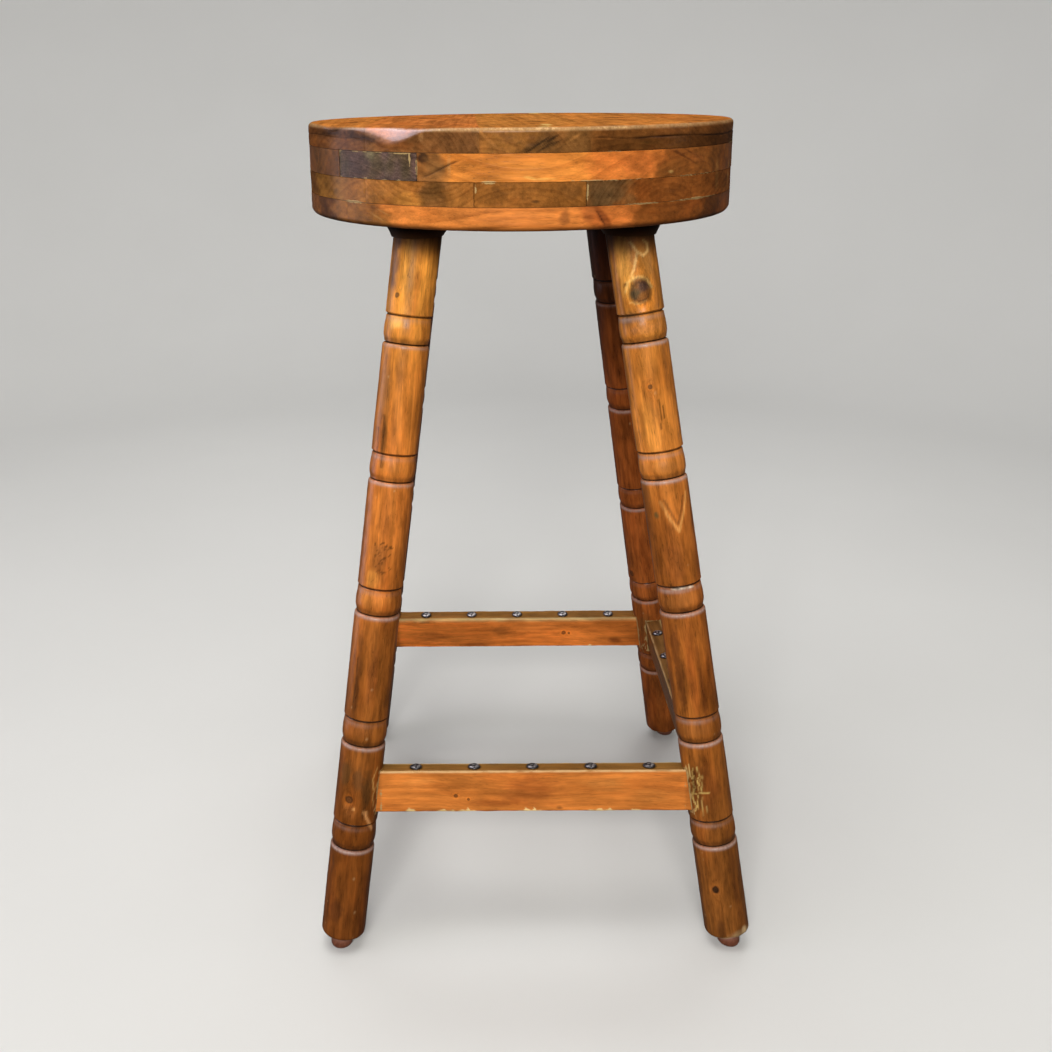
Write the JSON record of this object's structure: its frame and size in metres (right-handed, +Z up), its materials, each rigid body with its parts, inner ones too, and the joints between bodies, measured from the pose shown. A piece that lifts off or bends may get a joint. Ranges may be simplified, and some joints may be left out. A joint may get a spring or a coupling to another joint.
{
  "type": "bar stool",
  "caption": "Round-seated bar stool of varnished pine: laminated disc seat on splayed, grooved turned legs, joined by nailed stretchers that serve as the footrest.",
  "frame": {"origin": "on the floor, midway between the four feet", "axes": "+Z up, +X to the stool's right, +Y to its back; the front stretcher faces -Y"},
  "size_m": [0.3816, 0.3816, 0.707],
  "materials": {
    "pine_end_grain": "varnished, end grain at the front",
    "pine_long_grain": "varnished, long grain at the front",
    "grey_block": "varnished, weathered grey-brown",
    "leg_pine": "varnished, stained",
    "collar_dark": "dark stained, satin",
    "stretcher_pine": "varnished",
    "nail_steel": "blued, domed",
    "glide_brown": "smooth"
  },
  "bodies": {
    "root": {"collar_back_left": "collar_dark", "collar_back_right": "collar_dark", "collar_front_left": "collar_dark", "collar_front_right": "collar_dark", "glide_back_left": "glide_brown", "glide_back_right": "glide_brown", "glide_front_left": "glide_brown", "glide_front_right": "glide_brown", "leg_back_left": "leg_pine", "leg_back_right": "leg_pine", "leg_front_left": "leg_pine", "leg_front_right": "leg_pine", "nail_back_1": "nail_steel", "nail_back_2": "nail_steel", "nail_back_3": "nail_steel", "nail_back_4": "nail_steel", "nail_back_5": "nail_steel", "nail_front_1": "nail_steel", "nail_front_2": "nail_steel", "nail_front_3": "nail_steel", "nail_front_4": "nail_steel", "nail_front_5": "nail_steel", "nail_left_1": "nail_steel", "nail_left_2": "nail_steel", "nail_left_3": "nail_steel", "nail_left_4": "nail_steel", "nail_left_5": "nail_steel", "nail_right_1": "nail_steel", "nail_right_2": "nail_steel", "nail_right_3": "nail_steel", "nail_right_4": "nail_steel", "nail_right_5": "nail_steel", "seat_layer1_board1": "pine_end_grain", "seat_layer1_board2": "pine_end_grain", "seat_layer1_board3": "pine_end_grain", "seat_layer1_board4": "pine_end_grain", "seat_layer1_board5": "pine_end_grain", "seat_layer2_board1_block": "grey_block", "seat_layer2_board1_left": "pine_long_grain", "seat_layer2_board1_right": "pine_long_grain", "seat_layer2_board2": "pine_long_grain", "seat_layer2_board3": "pine_long_grain", "seat_layer2_board4": "pine_long_grain", "seat_layer3_board1": "pine_end_grain", "seat_layer3_board2": "pine_end_grain", "seat_layer3_board3": "pine_end_grain", "seat_layer3_board4": "pine_end_grain", "seat_layer3_board5": "pine_end_grain", "seat_layer4_board1": "pine_long_grain", "seat_layer4_board2": "pine_long_grain", "seat_layer4_board3": "pine_long_grain", "seat_layer4_board4": "pine_long_grain", "seat_layer4_board5": "pine_long_grain", "stretcher_back": "stretcher_pine", "stretcher_front": "stretcher_pine", "stretcher_left": "stretcher_pine", "stretcher_right": "stretcher_pine"}
  },
  "joints": []
}
